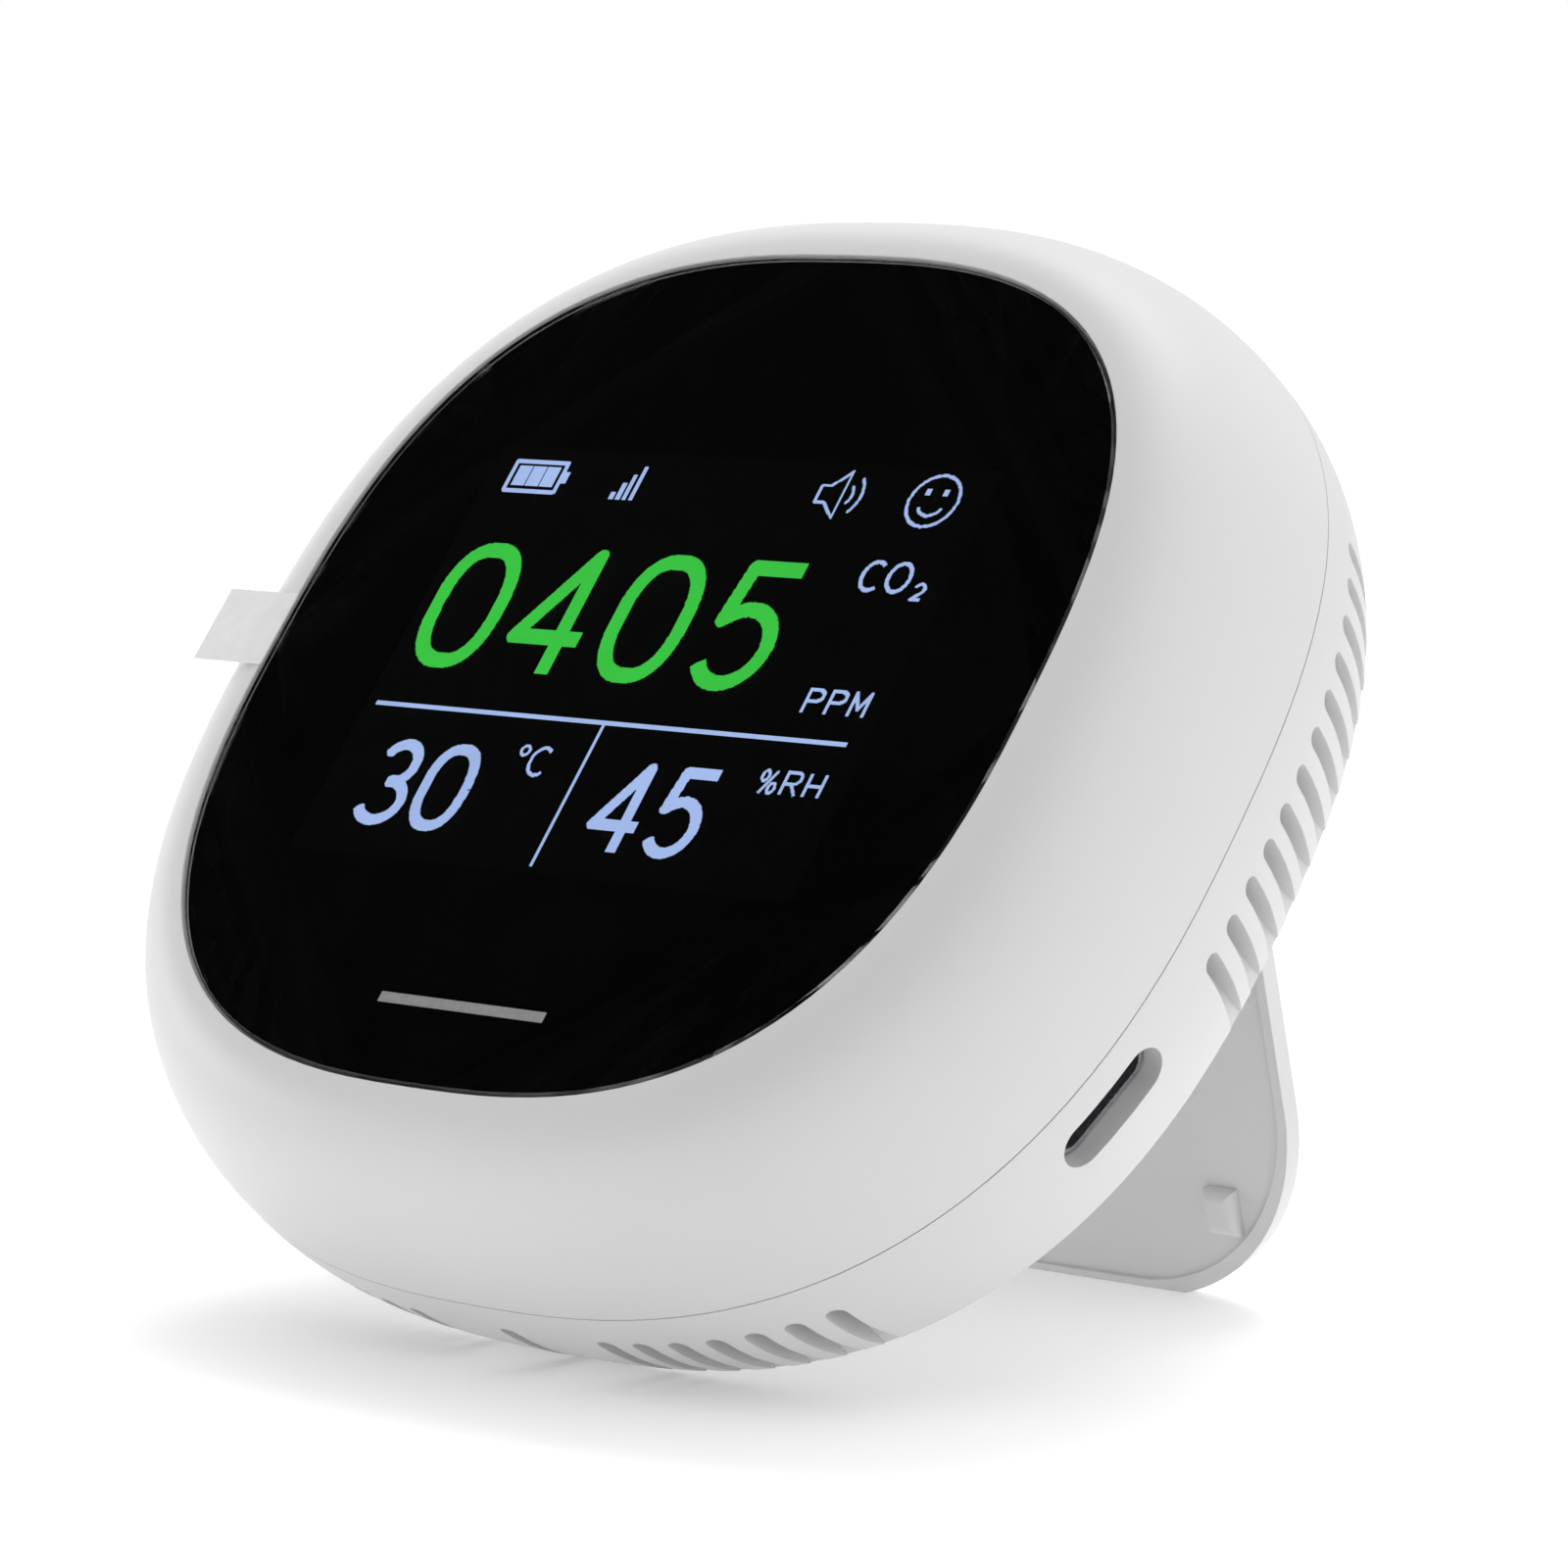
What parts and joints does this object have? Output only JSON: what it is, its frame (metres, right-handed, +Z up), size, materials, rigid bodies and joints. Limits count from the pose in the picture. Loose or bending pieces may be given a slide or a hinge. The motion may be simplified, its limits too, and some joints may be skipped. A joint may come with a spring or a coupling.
{
  "type": "carbon dioxide monitor",
  "caption": "Rounded-square white desk monitor for carbon dioxide, temperature and humidity, leaning back on a fold-out stand, with a black glass front and vented sides.",
  "frame": {"origin": "on the table under the middle of the object, between the case's lower back edge and the foot of its open stand", "axes": "+X to the right of the display as it is read, +Y to the back, +Z up"},
  "size_m": [0.085, 0.068, 0.0758],
  "materials": {
    "housing_white": "matte",
    "stand_white": "matte",
    "button_white": "satin",
    "glass_clear": "gloss",
    "mask_black": "gloss",
    "film_clear": "satin",
    "tape_grey": "matte",
    "lcd_glass": "gloss",
    "backlight_white": "satin",
    "bracket_steel": "satin",
    "board_green": "satin",
    "chip_black": "satin",
    "sensor_gold": "satin",
    "membrane_white": "matte",
    "cell_silver": "satin",
    "lead_red": "satin",
    "connector_ivory": "satin",
    "ribbon_amber": "satin",
    "shield_tin": "satin",
    "screw_steel": "satin",
    "pin_steel": "gloss",
    "port_steel": "gloss",
    "screen_mesh": "matte"
  },
  "bodies": {
    "case": {"front_housing": "housing_white", "rear_housing": "housing_white", "housing_screws": "screw_steel", "vent_screens": "screen_mesh", "cover_glass": "glass_clear", "black_mask": "mask_black", "glass_tape": "tape_grey", "lcd_panel": "lcd_glass", "lcd_backlight": "backlight_white", "display_bracket": "bracket_steel", "bracket_screws": "screw_steel", "lcd_ribbon": "ribbon_amber", "ribbon_connector": "connector_ivory", "main_board": "board_green", "board_screws": "screw_steel", "sensor_board": "board_green", "sensor_chamber": "sensor_gold", "sensor_membrane": "membrane_white", "sensor_pins": "pin_steel", "battery_tape": "tape_grey", "battery_cell": "cell_silver", "battery_leads": "lead_red", "battery_plug": "connector_ivory", "battery_socket": "connector_ivory", "temp_humidity_sensor": "chip_black", "wireless_module": "board_green", "wireless_shield": "shield_tin", "board_chips": "chip_black", "alarm_buzzer": "chip_black", "usb_shell": "port_steel", "usb_tongue": "chip_black", "switch_body": "shield_tin"},
    "kickstand": {"kickstand": "stand_white", "hinge_pins": "pin_steel"},
    "power_button": {"power_button": "button_white", "switch_plunger": "chip_black"},
    "protective_film": {"protective_film": "film_clear"}
  },
  "joints": [
    {"name": "kickstand_hinge", "type": "hinge", "parent": "case", "child": "kickstand", "pos_m": [0, 0.01735, 0.04327], "axis": [1, 0, 0], "range_deg": [-53.69, 0]},
    {"name": "power_button_press", "type": "slide", "parent": "case", "child": "power_button", "axis": [0.9484, 0.2001, 0.2459], "range_m": [0, 0.0004], "stiffness_N_per_m": 1500, "springref_m": -0.0003},
    {"name": "film_lift", "type": "slide", "parent": "case", "child": "protective_film", "axis": [0, -0.7756, 0.6312], "range_m": [0, 0.02]}
  ]
}
